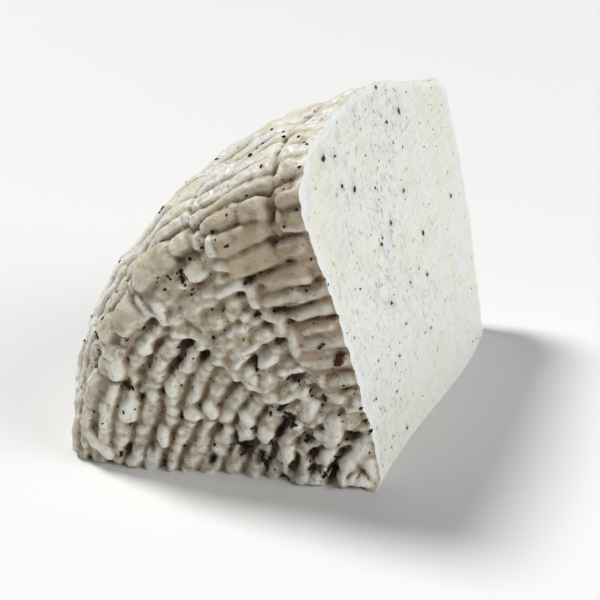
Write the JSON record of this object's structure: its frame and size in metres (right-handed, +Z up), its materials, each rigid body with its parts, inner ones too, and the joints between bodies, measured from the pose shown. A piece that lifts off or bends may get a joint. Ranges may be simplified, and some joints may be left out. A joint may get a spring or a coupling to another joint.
{
  "type": "cut wedge of basket-moulded fresh cheese with pepper flakes",
  "caption": "Wedge cut from a small tall wheel of white fresh cheese, its rind printed with basket rings and blocks, flecked with pepper, lying on a cut face.",
  "frame": {"origin": "on the floor under the middle of the wedge's box, on the cut face it rests on", "axes": "+Z up; +Y runs along the wheel's axis and the tip edge, from the ringed face to the upper face; +X points to the tip edge"},
  "size_m": [0.0702, 0.0953, 0.0645],
  "materials": {
    "rind": "moist ivory cheese rind with beige grooves",
    "cut_paste": "smooth white cut cheese, slightly creamy",
    "pepper_flakes": "black to red-brown pepper flakes"
  },
  "bodies": {
    "root": {"cheese_wedge": "rind"}
  },
  "joints": []
}
